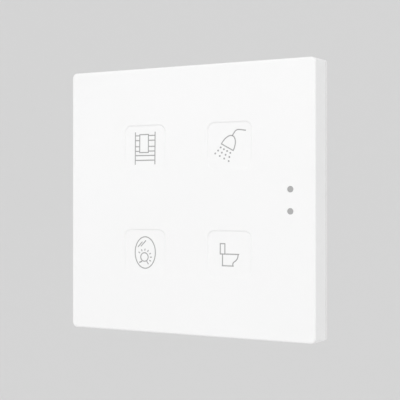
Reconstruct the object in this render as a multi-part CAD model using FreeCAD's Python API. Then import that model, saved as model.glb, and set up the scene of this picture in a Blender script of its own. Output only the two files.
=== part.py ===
import FreeCAD
import Part
import os
from FreeCAD import Vector

# Capacitive push button switch for a wall box. A square white cover with four shallow touch
# recesses is screwed to a rear cover, whose block of sockets reaches into the box. Magnets in
# the rear cover hold the whole switch on a steel plate that is screwed to the box.
# X is to the right of someone who faces the switch, Y goes into the wall and Z is up.
# The origin is the middle of the wall plate's back face, in the plane of the wall.

# The visible housing
FACE_WIDTH = 81.0
FACE_HEIGHT = 81.0
DEPTH = 10.4
WALL_GAP = 0.3
EDGE_ROUND = 0.6
FACE_CORNER = 1.1
FACE_WALL = 2.0
SKIRT_WALL = 1.8
CAVITY_CORNER = 1.2
SEAM_GAP = 0.2
RIM_LENGTH = 1.25
RIM_CHAMFER = 0.1

# Touch recesses and the light path behind each of them
BUTTON_PITCH_X = 28.2
BUTTON_PITCH_Z = 32.0
RECESS_WIDTH = 14.4
RECESS_HEIGHT = 14.4
RECESS_CORNER = 2.4
RECESS_DEPTH = 0.3
RECESS_SLOPE = 0.4
DIFFUSER_SIZE = 11.0
DIFFUSER_DEPTH = 0.7
DIFFUSER_CORNER = 1.6
DIFFUSER_LIP = 0.8
DIFFUSER_STEP = 0.4
DIFFUSER_CLEARANCE = 0.1
LIGHT_FRAME_THICKNESS = 1.5
LIGHT_FRAME_MARGIN = 6.0
LIGHT_FRAME_CORNER = 3.0
TAB_WIDTH = 2.0
TAB_HEIGHT = 4.0
TAB_CLEARANCE = 0.05
TAB_SHORT = 0.3
TAB_INSET = 3.1
PAD_THICKNESS = 0.1
PAD_BAND = 2.8
PAD_CORNER = 3.0
LED_WIDTH = 2.0
LED_HEIGHT = 1.6
LED_THICKNESS = 0.8

# Sensor windows at the right of the face
SENSOR_INSET = 7.5
SENSOR_PITCH = 6.3
WINDOW_RADIUS = 0.9
WINDOW_CLEARANCE = 0.02
WINDOW_FOOT = 3.2
WINDOW_FOOT_THICKNESS = 0.4
SENSOR_WIDTH = 3.4
SENSOR_HEIGHT = 2.4
SENSOR_THICKNESS = 0.9
BAFFLE_ROOM = 0.3
BAFFLE_WALL = 1.1

# Circuit boards and what is on them: each chip's width, height, thickness and place in X and Z
BOARD_THICKNESS = 1.0
TOUCH_BOARD_MARGIN = 2.7
BUS_BOARD_MARGIN = 0.5
BUS_BOARD_CORNER = 1.0
CHIP_CHAMFER = 0.15
TOUCH_CONTROLLER = (5.0, 5.0, 0.9, 7.0, -8.0)
MICROCONTROLLER = (7.0, 7.0, 1.0, -8.0, -8.0)
CRYSTAL = (3.2, 2.5, 0.7, 0.0, -8.0)
TRANSCEIVER = (5.0, 5.0, 0.9, 8.0, -2.0)
INDUCTOR = (5.0, 5.0, 2.4, 15.5, -2.0)
THERMISTOR_WIDTH = 1.6
THERMISTOR_HEIGHT = 0.8
THERMISTOR_THICKNESS = 0.8
THERMISTOR_INSET = 3.0
THERMISTOR_GAP = 1.2
CONNECTOR_WIDTH = 10.0
CONNECTOR_HEIGHT = 4.4
CONNECTOR_X = 9.0
CONNECTOR_Z = 9.0
CAPACITOR_RADIUS = 3.15
CAPACITOR_GAP = 0.6
CAPACITOR_PITCH = 8.0
CAPACITOR_X = -8.0
CAPACITOR_Z = 6.5

# Wall plate
PLATE_MARGIN = 5.0
PLATE_THICKNESS = 1.2
PLATE_CORNER = 3.0
PLATE_CLEARANCE = 0.3
PLATE_STANDOFF = 0.2
PLATE_OPENING_CLEARANCE = 1.0
PLATE_OPENING_CORNER = 2.0
BOX_SCREW_PITCH = 60.0
SLOT_LENGTH = 7.6
SLOT_RADIUS = 2.1
BOX_SCREW_HEAD_RADIUS = 3.2
BOX_SCREW_HEAD_ROOM = 2.0
RELIEF_CLEARANCE = 0.3
RELIEF_CORNER = 1.6
RELIEF_WALL = 0.8
SUPPORT_PAD_SIZE = 5.0

# Rear cover
FLOOR_WALL = 1.6
SPIGOT_CLEARANCE = 0.15
SPIGOT_WALL = 1.2
SPIGOT_HEIGHT = 2.0
RIB_WALL = 1.0
RIB_HEIGHT = 1.0
RIB_INSET = 4.0
BLOCK_WIDTH = 44.0
BLOCK_HEIGHT = 36.0
BLOCK_REACH = 10.0
BLOCK_WALL = 1.6
BLOCK_CORNER = 2.6
BLOCK_CHAMFER = 0.8
SOCKET_WALL = 1.2
SOCKET_DEPTH = 8.0
SOCKET_SIDE_INSET = 1.9
SOCKET_BASE_INSET = 1.7
POST_SIZE = 4.0
POST_INSET = 3.0

# Bus socket with its two pins, and the auxiliary input socket with four
BUS_WIDTH = 12.4
BUS_HEIGHT = 11.0
BUS_PIN_PITCH = 5.75
BUS_PIN_RADIUS = 0.5
INPUT_WIDTH = 15.4
INPUT_HEIGHT = 8.0
INPUT_PIN_COUNT = 4
INPUT_PIN_PITCH = 3.5
INPUT_PIN_SIZE = 0.8
INPUT_PIN_DROP = 1.8
PIN_REACH = 5.8
PIN_SHOULDER = 0.2
PIN_CLEARANCE = 0.05
PIN_TAIL = 0.7
PIN_CHAMFER = 0.15

# Programming key and light, reached from behind
KEY_PITCH = 10.0
KEY_INSET = 7.4
KEY_RADIUS = 1.5
KEY_CLEARANCE = 0.08
KEY_TRAVEL = 0.25
KEY_SUNK = 0.2
KEY_FLANGE_SIZE = 4.8
KEY_FLANGE_THICKNESS = 1.0
KEY_FLANGE_GAP = 0.1
SWITCH_SIZE = 4.6
SWITCH_HEIGHT = 2.0
SWITCH_BASE_WALL = 0.4
SWITCH_CHAMBER_SIZE = 3.6
ACTUATOR_RADIUS = 1.0
ACTUATOR_CLEARANCE = 0.08
ACTUATOR_FLANGE_SIZE = 3.0
ACTUATOR_FLANGE_THICKNESS = 0.3
ACTUATOR_FLANGE_GAP = 0.04
ACTUATOR_REACH = 0.8
DOME_RADIUS = 1.6
DOME_THICKNESS = 0.08
DOME_GAP = 0.02
DOME_SPARE = 0.27
PIPE_RADIUS = 1.1
PIPE_CLEARANCE = 0.03
PIPE_FLANGE_SIZE = 3.6
PIPE_FLANGE_THICKNESS = 0.8
PIPE_GAP = 0.3

# Magnets and cover screws
MAGNET_INSET = 8.0
MAGNET_RADIUS = 4.0
MAGNET_THICKNESS = 1.6
MAGNET_PROUD = 0.1
MAGNET_CLEARANCE = 0.05
MAGNET_BOSS_WALL = 1.1
SCREW_INSET = 2.5
SCREW_RADIUS = 1.1
SCREW_FIT = 0.02
SCREW_GRIP = 3.6
SCREW_HOLE_CLEARANCE = 0.2
SCREW_HEAD_RADIUS = 2.1
SCREW_HEAD_HEIGHT = 1.3
SCREW_HEAD_CLEARANCE = 0.2
SCREW_SINK = 1.6
SCREW_DRIVE_LENGTH = 2.2
SCREW_DRIVE_WIDTH = 0.5
SCREW_DRIVE_DEPTH = 0.7
PILOT_SPARE = 0.5
TOWER_SIZE = 7.0
TOWER_WALL = 1.2
BOSS_SIZE = 5.6
BOSS_CLEARANCE = 0.2
SHOULDER_WALL = 1.0
GUSSET_WALL = 1.2
GUSSET_GAP = 0.2

# How far a cutting shape passes the surface it starts from, and when two places are the same
PASS = 1.0
SAME = 0.001

# Places along Y, from the front of the housing to the back of its block
front_y = -(WALL_GAP + DEPTH)
recess_floor_y = front_y + RECESS_DEPTH
face_inner_y = front_y + FACE_WALL
diffuser_front_y = face_inner_y - DIFFUSER_DEPTH
light_frame_rear_y = face_inner_y + LIGHT_FRAME_THICKNESS
touch_board_front_y = light_frame_rear_y + PAD_THICKNESS
touch_board_rear_y = touch_board_front_y + BOARD_THICKNESS
rim_rear_y = -WALL_GAP
rim_front_y = rim_rear_y - RIM_LENGTH
skirt_end_y = rim_front_y - SEAM_GAP
plate_front_y = -PLATE_THICKNESS
floor_rear_y = plate_front_y - PLATE_STANDOFF
floor_front_y = floor_rear_y - FLOOR_WALL
magnet_rear_y = floor_rear_y + MAGNET_PROUD
magnet_front_y = magnet_rear_y - MAGNET_THICKNESS
screw_seat_y = floor_rear_y - SCREW_SINK
tower_front_y = screw_seat_y - TOWER_WALL
relief_y = floor_rear_y - BOX_SCREW_HEAD_ROOM
relief_front_y = relief_y - RELIEF_WALL
block_wall_y = BLOCK_REACH - BLOCK_WALL
socket_floor_y = BLOCK_REACH - SOCKET_DEPTH
bus_board_rear_y = socket_floor_y - SOCKET_WALL
bus_board_front_y = bus_board_rear_y - BOARD_THICKNESS
switch_top_y = bus_board_rear_y + SWITCH_HEIGHT
actuator_end_y = switch_top_y + ACTUATOR_REACH
dome_rim_y = bus_board_rear_y + SWITCH_BASE_WALL + DOME_GAP
dome_top_y = dome_rim_y + KEY_TRAVEL + DOME_SPARE
actuator_foot_y = dome_top_y + DOME_GAP
chamber_end_y = actuator_foot_y + ACTUATOR_FLANGE_THICKNESS + ACTUATOR_FLANGE_GAP
screw_tip_y = tower_front_y - SCREW_GRIP
pin_tip_y = socket_floor_y + PIN_REACH

# Sizes across the face that follow from others
cavity_width = FACE_WIDTH - 2 * SKIRT_WALL
cavity_height = FACE_HEIGHT - 2 * SKIRT_WALL
spigot_width = cavity_width - 2 * SPIGOT_CLEARANCE
spigot_height = cavity_height - 2 * SPIGOT_CLEARANCE
plate_width = FACE_WIDTH - 2 * PLATE_MARGIN
plate_height = FACE_HEIGHT - 2 * PLATE_MARGIN
block_inner_width = BLOCK_WIDTH - 2 * BLOCK_WALL
block_inner_height = BLOCK_HEIGHT - 2 * BLOCK_WALL
well_size = DIFFUSER_SIZE - 2 * DIFFUSER_LIP
screw_x = plate_width / 2 - SCREW_INSET
screw_z = plate_height / 2 - SCREW_INSET
magnet_x = plate_width / 2 - MAGNET_INSET
magnet_z = plate_height / 2 - MAGNET_INSET
post_x = block_inner_width / 2 - POST_INSET
post_z = block_inner_height / 2 - POST_INSET
slot_travel = SLOT_LENGTH / 2 - SLOT_RADIUS
touch_board_width = cavity_width - 2 * TOUCH_BOARD_MARGIN
touch_board_height = cavity_height - 2 * TOUCH_BOARD_MARGIN
light_frame_width = BUTTON_PITCH_X + DIFFUSER_SIZE + 2 * LIGHT_FRAME_MARGIN
light_frame_height = BUTTON_PITCH_Z + DIFFUSER_SIZE + 2 * LIGHT_FRAME_MARGIN
tab_x = light_frame_width / 2 - TAB_INSET
sensor_x = FACE_WIDTH / 2 - SENSOR_INSET
socket_base_z = SOCKET_BASE_INSET + SOCKET_WALL - block_inner_height / 2
bus_x = SOCKET_SIDE_INSET + SOCKET_WALL + (BUS_WIDTH - block_inner_width) / 2
bus_z = socket_base_z + BUS_HEIGHT / 2
input_x = (block_inner_width - INPUT_WIDTH) / 2 - SOCKET_WALL - SOCKET_SIDE_INSET
input_z = socket_base_z + INPUT_HEIGHT / 2
input_pin_z = input_z - INPUT_PIN_DROP
key_x = -KEY_PITCH / 2
pipe_x = KEY_PITCH / 2
thermistor_x = (SUPPORT_PAD_SIZE + THERMISTOR_WIDTH) / 2 + THERMISTOR_GAP
key_z = block_inner_height / 2 - KEY_INSET

BUTTONS = {
    "upper_left": (-BUTTON_PITCH_X / 2, BUTTON_PITCH_Z / 2),
    "upper_right": (BUTTON_PITCH_X / 2, BUTTON_PITCH_Z / 2),
    "lower_left": (-BUTTON_PITCH_X / 2, -BUTTON_PITCH_Z / 2),
    "lower_right": (BUTTON_PITCH_X / 2, -BUTTON_PITCH_Z / 2),
}
SENSORS = {"upper": SENSOR_PITCH / 2, "lower": -SENSOR_PITCH / 2}
# Where the box screws go: the place in X and Z, and which way the slot runs
BOX_SCREWS = [
    (-BOX_SCREW_PITCH / 2, 0.0, "x"),
    (BOX_SCREW_PITCH / 2, 0.0, "x"),
    (0.0, -BOX_SCREW_PITCH / 2, "z"),
    (0.0, BOX_SCREW_PITCH / 2, "z"),
]


def corners(x, z):
    """The four places that mirror (x, z) about both middle lines."""
    return [(sx * x, sz * z) for sx in (-1, 1) for sz in (-1, 1)]


def block(width, height, y0, y1, x=0.0, z=0.0):
    """A square-cornered block centred on (x, z), from y0 to y1."""
    return Part.makeBox(width, y1 - y0, height, Vector(x - width / 2, y0, z - height / 2))


def rounded(width, height, radius, y0, y1, x=0.0, z=0.0):
    """The same block with its four edges along Y rounded."""
    solid = block(width, height, y0, y1, x, z)
    along = [edge for edge in solid.Edges if abs(edge.BoundBox.YLength - (y1 - y0)) < SAME]
    return solid.makeFillet(radius, along)


def bevelled(width, height, chamfer, y0, y1, x=0.0, z=0.0):
    """The same block with its four edges along Y cut off at 45 degrees."""
    solid = block(width, height, y0, y1, x, z)
    along = [edge for edge in solid.Edges if abs(edge.BoundBox.YLength - (y1 - y0)) < SAME]
    return solid.makeChamfer(chamfer, along)


def disc(radius, y0, y1, x=0.0, z=0.0):
    """A round bar along Y, from y0 to y1."""
    return Part.makeCylinder(radius, y1 - y0, Vector(x, y0, z), Vector(0, 1, 0))


def obround(half_length, radius, way, y0, y1, x, z):
    """A bar with two round ends, as long as twice half_length along x or z."""
    straight = 2 * (half_length - radius)
    step = straight / 2
    if way == "x":
        middle = block(straight, 2 * radius, y0, y1, x, z)
        ends = [disc(radius, y0, y1, x - step, z), disc(radius, y0, y1, x + step, z)]
    else:
        middle = block(2 * radius, straight, y0, y1, x, z)
        ends = [disc(radius, y0, y1, x, z - step), disc(radius, y0, y1, x, z + step)]
    return middle.fuse(ends).removeSplitter()


def edges_at(shape, y):
    """The edges that lie flat at one depth."""
    flat = [edge for edge in shape.Edges if edge.BoundBox.YLength < SAME]
    return [edge for edge in flat if abs(edge.CenterOfMass.y - y) < SAME]


def chip(width, height, thickness, board_y, side, x, z):
    """A chip on a board: side is 1 on the board's rear and -1 on its front."""
    top_y = board_y + side * thickness
    body = block(width, height, min(board_y, top_y), max(board_y, top_y), x, z)
    return body.makeChamfer(CHIP_CHAMFER, edges_at(body, top_y))


def front_shell():
    """The cover's plate and skirt, with rounded corners and a tighter round along the front."""
    outer = rounded(FACE_WIDTH, FACE_HEIGHT, FACE_CORNER, front_y, skirt_end_y)
    outer = outer.makeFillet(EDGE_ROUND, edges_at(outer, front_y))
    return outer.cut(
        bevelled(cavity_width, cavity_height, CAVITY_CORNER, face_inner_y, skirt_end_y + PASS)
    )


def recess_tool(x, z):
    """What each touch recess is sunk with: a rounded square that slopes down to its floor."""
    tool = rounded(RECESS_WIDTH, RECESS_HEIGHT, RECESS_CORNER, front_y - PASS, recess_floor_y, x, z)
    return tool.makeChamfer(RECESS_DEPTH, RECESS_SLOPE, edges_at(tool, recess_floor_y))


def cover_boss(x, z):
    """A screw boss with a shoulder for the touch board and two gussets out to the skirt."""
    root_y = face_inner_y - FACE_WALL / 2
    gusset_end_y = touch_board_front_y - GUSSET_GAP
    shoulder_size = BOSS_SIZE + 2 * SHOULDER_WALL
    shoulder = block(shoulder_size, shoulder_size, root_y, touch_board_front_y, x, z)
    boss = block(BOSS_SIZE, BOSS_SIZE, root_y, tower_front_y, x, z)
    reach_x = FACE_WIDTH / 2 - SKIRT_WALL / 2 - abs(x)
    reach_z = FACE_HEIGHT / 2 - SKIRT_WALL / 2 - abs(z)
    side = 1 if x > 0 else -1
    top = 1 if z > 0 else -1
    across = block(reach_x, GUSSET_WALL, root_y, gusset_end_y, x + side * reach_x / 2, z)
    upright = block(GUSSET_WALL, reach_z, root_y, gusset_end_y, x, z + top * reach_z / 2)
    return [shoulder, boss, across, upright]


def front_cover():
    """The moulded front: face, skirt, touch recesses, diffuser pockets, bosses, tabs and windows."""
    added = []
    for x, z in corners(screw_x, screw_z):
        added += cover_boss(x, z)
    for x in (-tab_x, tab_x):
        root_y = face_inner_y - FACE_WALL / 2
        added.append(block(TAB_WIDTH, TAB_HEIGHT, root_y, light_frame_rear_y - TAB_SHORT, x))
    cover = front_shell().fuse(added)
    cuts = []
    pocket = DIFFUSER_SIZE + 2 * DIFFUSER_CLEARANCE
    for x, z in BUTTONS.values():
        cuts.append(recess_tool(x, z))
        cuts.append(bevelled(pocket, pocket, DIFFUSER_CORNER, diffuser_front_y, face_inner_y + PASS, x, z))
    for x, z in corners(screw_x, screw_z):
        pilot_y = screw_tip_y - PILOT_SPARE
        cuts.append(disc(SCREW_RADIUS + SCREW_FIT, pilot_y, tower_front_y + PASS, x, z))
    for z in SENSORS.values():
        bore = WINDOW_RADIUS + WINDOW_CLEARANCE
        cuts.append(disc(bore, front_y - PASS, face_inner_y + PASS, sensor_x, z))
    return cover.cut(cuts).removeSplitter()


def diffuser(x, z):
    """A diffuser in its pocket behind one sign, with a step that drops into the light well."""
    plate = bevelled(DIFFUSER_SIZE, DIFFUSER_SIZE, DIFFUSER_CORNER, diffuser_front_y, face_inner_y, x, z)
    size = well_size - 2 * DIFFUSER_CLEARANCE
    step = bevelled(size, size, DIFFUSER_CORNER, diffuser_front_y, face_inner_y + DIFFUSER_STEP, x, z)
    return plate.fuse(step).removeSplitter()


def light_frame():
    """The spacer behind the face, with a light well for each sign and a slot for each tab."""
    y0 = face_inner_y
    y1 = light_frame_rear_y
    frame = bevelled(light_frame_width, light_frame_height, LIGHT_FRAME_CORNER, y0, y1)
    slot_width = TAB_WIDTH + 2 * TAB_CLEARANCE
    slot_height = TAB_HEIGHT + 2 * TAB_CLEARANCE
    cuts = [block(slot_width, slot_height, y0 - PASS, y1 + PASS, x) for x in (-tab_x, tab_x)]
    for x, z in BUTTONS.values():
        cuts.append(bevelled(well_size, well_size, DIFFUSER_CORNER, y0 - PASS, y1 + PASS, x, z))
    return frame.cut(cuts)


def touch_pad(x, z):
    """The copper ring around one light well, on the front of the touch board."""
    y0 = light_frame_rear_y
    y1 = touch_board_front_y
    outer_size = well_size + 2 * PAD_BAND
    outer = bevelled(outer_size, outer_size, PAD_CORNER, y0, y1, x, z)
    return outer.cut(bevelled(well_size, well_size, DIFFUSER_CORNER, y0 - PASS, y1 + PASS, x, z))


def touch_board():
    """The front circuit board, with a notch at each corner where a boss passes."""
    y0 = touch_board_front_y
    y1 = touch_board_rear_y
    width = touch_board_width - 2 * screw_x + BOSS_SIZE + 2 * BOSS_CLEARANCE
    height = touch_board_height - 2 * screw_z + BOSS_SIZE + 2 * BOSS_CLEARANCE
    notches = [
        block(width, height, y0 - PASS, y1 + PASS, x, z)
        for x, z in corners(touch_board_width / 2, touch_board_height / 2)
    ]
    return block(touch_board_width, touch_board_height, y0, y1).cut(notches)


def backlight_leds():
    """One LED on the touch board in the middle of each light well."""
    leds = []
    for x, z in BUTTONS.values():
        leds.append(chip(LED_WIDTH, LED_HEIGHT, LED_THICKNESS, touch_board_front_y, -1, x, z))
    return Part.makeCompound(leds)


def sensor_window(z):
    """A round grey window flush with the face, on a square foot behind it."""
    foot_rear_y = face_inner_y + WINDOW_FOOT_THICKNESS
    pane = disc(WINDOW_RADIUS, front_y, foot_rear_y, sensor_x, z)
    foot = block(WINDOW_FOOT, WINDOW_FOOT, face_inner_y, foot_rear_y, sensor_x, z)
    return pane.fuse(foot).removeSplitter()


def sensor_baffle():
    """The dark sleeve with one chamber for each sensor, between the cover and the board."""
    room_width = max(SENSOR_WIDTH, WINDOW_FOOT) + 2 * BAFFLE_ROOM
    room_height = max(SENSOR_HEIGHT, WINDOW_FOOT) + 2 * BAFFLE_ROOM
    width = room_width + 2 * BAFFLE_WALL
    height = SENSOR_PITCH + room_height + 2 * BAFFLE_WALL
    sleeve = block(width, height, face_inner_y, touch_board_front_y, sensor_x)
    rooms = [
        block(room_width, room_height, face_inner_y - PASS, touch_board_front_y + PASS, sensor_x, z)
        for z in SENSORS.values()
    ]
    return sleeve.cut(rooms)


def wall_plate():
    """The steel plate: an opening for the block and four slots for the box screws."""
    plate = rounded(plate_width, plate_height, PLATE_CORNER, plate_front_y, 0.0)
    cuts = [
        bevelled(
            BLOCK_WIDTH + 2 * PLATE_OPENING_CLEARANCE,
            BLOCK_HEIGHT + 2 * PLATE_OPENING_CLEARANCE,
            PLATE_OPENING_CORNER,
            plate_front_y - PASS,
            PASS,
        )
    ]
    for x, z, way in BOX_SCREWS:
        cuts.append(obround(SLOT_LENGTH / 2, SLOT_RADIUS, way, plate_front_y - PASS, PASS, x, z))
    return plate.cut(cuts)


def sockets():
    """Each socket's middle, width and height."""
    return [(bus_x, bus_z, BUS_WIDTH, BUS_HEIGHT), (input_x, input_z, INPUT_WIDTH, INPUT_HEIGHT)]


def rear_tray():
    """The rear cover's rim, its floor and the spigot that fits in the front cover."""
    rim = rounded(FACE_WIDTH, FACE_HEIGHT, FACE_CORNER, rim_front_y, rim_rear_y)
    rim = rim.makeChamfer(RIM_CHAMFER, edges_at(rim, rim_front_y) + edges_at(rim, rim_rear_y))
    spigot_front_y = floor_front_y - SPIGOT_HEIGHT
    spigot = bevelled(spigot_width, spigot_height, CAVITY_CORNER, spigot_front_y, floor_rear_y)
    hollow = block(
        spigot_width - 2 * SPIGOT_WALL,
        spigot_height - 2 * SPIGOT_WALL,
        spigot_front_y - PASS,
        floor_front_y,
    )
    plate_recess = rounded(
        plate_width + 2 * PLATE_CLEARANCE,
        plate_height + 2 * PLATE_CLEARANCE,
        PLATE_CORNER + PLATE_CLEARANCE,
        floor_rear_y,
        rim_rear_y + PASS,
    )
    return rim.fuse(spigot.cut(hollow)).cut(plate_recess)


def rear_block():
    """The hollow block behind the floor, with the wells of its two sockets and the board posts."""
    shell = rounded(BLOCK_WIDTH, BLOCK_HEIGHT, BLOCK_CORNER, floor_front_y, BLOCK_REACH)
    shell = shell.makeChamfer(BLOCK_CHAMFER, edges_at(shell, BLOCK_REACH))
    shell = shell.cut(block_hollow(block_wall_y))
    y0 = bus_board_rear_y
    y1 = block_wall_y + BLOCK_WALL / 2
    wells = []
    for x, z, width, height in sockets():
        wells.append(block(width + 2 * SOCKET_WALL, height + 2 * SOCKET_WALL, y0, y1, x, z))
    for x in (-post_x, post_x):
        wells.append(block(POST_SIZE, POST_SIZE, y0, y1, x, post_z))
    return shell.fuse(wells)


def block_hollow(y1):
    """The inside of the block, which is open towards the front."""
    return block(block_inner_width, block_inner_height, floor_front_y - PASS, y1)


def floor_ribs():
    """Ribs on the floor, from the block's walls out to the spigot."""
    rib_x = BLOCK_WIDTH / 2 - RIB_INSET
    rib_z = BLOCK_HEIGHT / 2 - RIB_INSET
    inner_x = (BLOCK_WIDTH - BLOCK_WALL) / 2
    inner_z = (BLOCK_HEIGHT - BLOCK_WALL) / 2
    length_x = (spigot_width - SPIGOT_WALL) / 2 - inner_x
    length_z = (spigot_height - SPIGOT_WALL) / 2 - inner_z
    y0 = floor_front_y - RIB_HEIGHT
    y1 = floor_front_y + FLOOR_WALL / 2
    ribs = []
    for side, top in corners(1, 1):
        ribs.append(block(length_x, RIB_WALL, y0, y1, side * (inner_x + length_x / 2), top * rib_z))
        ribs.append(block(RIB_WALL, length_z, y0, y1, side * rib_x, top * (inner_z + length_z / 2)))
    return ribs


def relief(way, extra, y0, y1, x, z):
    """The room a box screw's head needs behind the floor, or with extra, the bulge around it."""
    short = 2 * (BOX_SCREW_HEAD_RADIUS + RELIEF_CLEARANCE + extra)
    long = short + 2 * slot_travel
    width, height = (long, short) if way == "x" else (short, long)
    return bevelled(width, height, RELIEF_CORNER, y0, y1, x, z)


def rear_cover():
    """The moulded back: rim, floor, screw towers, magnet pockets, head reliefs and the block."""
    inside = bevelled(spigot_width, spigot_height, CAVITY_CORNER, touch_board_rear_y, floor_rear_y)
    added = [rear_block()] + floor_ribs()
    for x, z in corners(screw_x, screw_z):
        added.append(block(TOWER_SIZE, TOWER_SIZE, tower_front_y, floor_rear_y, x, z).common(inside))
    for x, z in corners(magnet_x, magnet_z):
        size = 2 * (MAGNET_RADIUS + MAGNET_BOSS_WALL)
        boss_y = magnet_front_y - MAGNET_BOSS_WALL
        added.append(block(size, size, boss_y, floor_rear_y, x, z).common(inside))
    for x, z, way in BOX_SCREWS:
        added.append(relief(way, RELIEF_WALL, relief_front_y, floor_rear_y, x, z).common(inside))
        added.append(block(SUPPORT_PAD_SIZE, SUPPORT_PAD_SIZE, touch_board_rear_y, relief_y, x, z))
    cover = rear_tray().fuse(added)
    cuts = [block_hollow(floor_rear_y)]
    head_room = 2 * (SCREW_HEAD_RADIUS + SCREW_HEAD_CLEARANCE)
    for x, z in corners(screw_x, screw_z):
        cuts.append(disc(SCREW_RADIUS + SCREW_HOLE_CLEARANCE, tower_front_y - PASS, floor_rear_y, x, z))
        cuts.append(block(head_room, head_room, screw_seat_y, floor_rear_y + SAME, x, z))
    for x, z in corners(magnet_x, magnet_z):
        cuts.append(disc(MAGNET_RADIUS + MAGNET_CLEARANCE, magnet_front_y, floor_rear_y + SAME, x, z))
    for x, z, way in BOX_SCREWS:
        cuts.append(relief(way, 0.0, relief_y, floor_rear_y + SAME, x, z))
    for x, z, width, height in sockets():
        cuts.append(block(width, height, socket_floor_y, BLOCK_REACH + PASS, x, z))
    for x, z, size in pin_places():
        bore = size + 2 * (PIN_SHOULDER + PIN_CLEARANCE)
        cuts.append(block(bore, bore, bus_board_rear_y - PASS, socket_floor_y + PASS, x, z))
    cuts.append(disc(KEY_RADIUS + KEY_CLEARANCE, block_wall_y - PASS, BLOCK_REACH + PASS, key_x, key_z))
    cuts.append(disc(PIPE_RADIUS + PIPE_CLEARANCE, block_wall_y - PASS, BLOCK_REACH + PASS, pipe_x, key_z))
    return cover.cut(cuts).removeSplitter()


def bus_pin_places():
    """The middle of each bus pin."""
    return [(bus_x - BUS_PIN_PITCH / 2, bus_z), (bus_x + BUS_PIN_PITCH / 2, bus_z)]


def input_pin_places():
    """The middle of each pin of the input socket, low in it."""
    first = input_x - INPUT_PIN_PITCH * (INPUT_PIN_COUNT - 1) / 2
    return [(first + INPUT_PIN_PITCH * i, input_pin_z) for i in range(INPUT_PIN_COUNT)]


def pin_places():
    """Every contact pin's middle and how thick it is."""
    bus = [(x, z, 2 * BUS_PIN_RADIUS) for x, z in bus_pin_places()]
    return bus + [(x, z, INPUT_PIN_SIZE) for x, z in input_pin_places()]


def contact_pin(x, z, size, free):
    """A contact pin: square soldered tail, shoulder through the socket's floor and free end."""
    tail = block(size, size, bus_board_front_y - PIN_TAIL, bus_board_rear_y, x, z)
    shoulder_size = size + 2 * PIN_SHOULDER
    shoulder = block(shoulder_size, shoulder_size, bus_board_rear_y, socket_floor_y, x, z)
    free = free.makeChamfer(PIN_CHAMFER, edges_at(free, pin_tip_y))
    return tail.fuse([shoulder, free]).removeSplitter()


def bus_pins():
    """The two round pins that the bus plug goes on."""
    pins = []
    for x, z in bus_pin_places():
        free = disc(BUS_PIN_RADIUS, socket_floor_y, pin_tip_y, x, z)
        pins.append(contact_pin(x, z, 2 * BUS_PIN_RADIUS, free))
    return Part.makeCompound(pins)


def input_pins():
    """The four square pins of the auxiliary input socket."""
    pins = []
    for x, z in input_pin_places():
        free = block(INPUT_PIN_SIZE, INPUT_PIN_SIZE, socket_floor_y, pin_tip_y, x, z)
        pins.append(contact_pin(x, z, INPUT_PIN_SIZE, free))
    return Part.makeCompound(pins)


def bus_board():
    """The rear circuit board, seated on the socket wells and two posts, with a slot for each pin."""
    board = bevelled(
        block_inner_width - 2 * BUS_BOARD_MARGIN,
        block_inner_height - 2 * BUS_BOARD_MARGIN,
        BUS_BOARD_CORNER,
        bus_board_front_y,
        bus_board_rear_y,
    )
    slots = []
    for x, z, size in pin_places():
        slot = size + 2 * PIN_CLEARANCE
        slots.append(block(slot, slot, bus_board_front_y - PASS, bus_board_rear_y + PASS, x, z))
    return board.cut(slots)


def prog_switch_base():
    """The key switch's case on the rear of the bus board, with a chamber for its dome."""
    chamber_y = bus_board_rear_y + SWITCH_BASE_WALL
    case = block(SWITCH_SIZE, SWITCH_SIZE, bus_board_rear_y, switch_top_y, key_x, key_z)
    case = case.makeChamfer(CHIP_CHAMFER, edges_at(case, switch_top_y))
    chamber = block(SWITCH_CHAMBER_SIZE, SWITCH_CHAMBER_SIZE, chamber_y, chamber_end_y, key_x, key_z)
    bore = disc(ACTUATOR_RADIUS + ACTUATOR_CLEARANCE, chamber_y, switch_top_y + PASS, key_x, key_z)
    return case.cut([chamber, bore])


def prog_switch_dome():
    """The snap dome under the actuator: a shallow cap cut from a hollow ball."""
    rise = dome_top_y - dome_rim_y
    ball = (DOME_RADIUS ** 2 + rise ** 2) / (2 * rise)
    centre = Vector(key_x, dome_top_y - ball, key_z)
    cap = Part.makeSphere(ball, centre).cut(Part.makeSphere(ball - DOME_THICKNESS, centre))
    return cap.common(disc(DOME_RADIUS, dome_rim_y, dome_top_y + PASS, key_x, key_z))


def prog_switch_actuator():
    """The switch's own plunger, kept in by its square flange."""
    size = ACTUATOR_FLANGE_SIZE
    flange_end_y = actuator_foot_y + ACTUATOR_FLANGE_THICKNESS
    flange = block(size, size, actuator_foot_y, flange_end_y, key_x, key_z)
    return flange.fuse(disc(ACTUATOR_RADIUS, actuator_foot_y, actuator_end_y, key_x, key_z)).removeSplitter()


def prog_key():
    """The round key that is pressed from behind, with a square flange that keeps it in the block."""
    stem = disc(KEY_RADIUS, actuator_end_y, BLOCK_REACH - KEY_SUNK, key_x, key_z)
    stem = stem.makeChamfer(CHIP_CHAMFER, edges_at(stem, BLOCK_REACH - KEY_SUNK))
    flange_end_y = block_wall_y - KEY_FLANGE_GAP
    flange_y = flange_end_y - KEY_FLANGE_THICKNESS
    flange = block(KEY_FLANGE_SIZE, KEY_FLANGE_SIZE, flange_y, flange_end_y, key_x, key_z)
    return stem.fuse(flange).removeSplitter()


def prog_light_pipe():
    """The clear pipe that brings the programming light to the back of the block."""
    foot_y = bus_board_rear_y + LED_THICKNESS + PIPE_GAP
    stem = disc(PIPE_RADIUS, foot_y, BLOCK_REACH, pipe_x, key_z)
    flange_y = block_wall_y - PIPE_FLANGE_THICKNESS
    flange = block(PIPE_FLANGE_SIZE, PIPE_FLANGE_SIZE, flange_y, block_wall_y, pipe_x, key_z)
    return stem.fuse(flange).removeSplitter()


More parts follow.
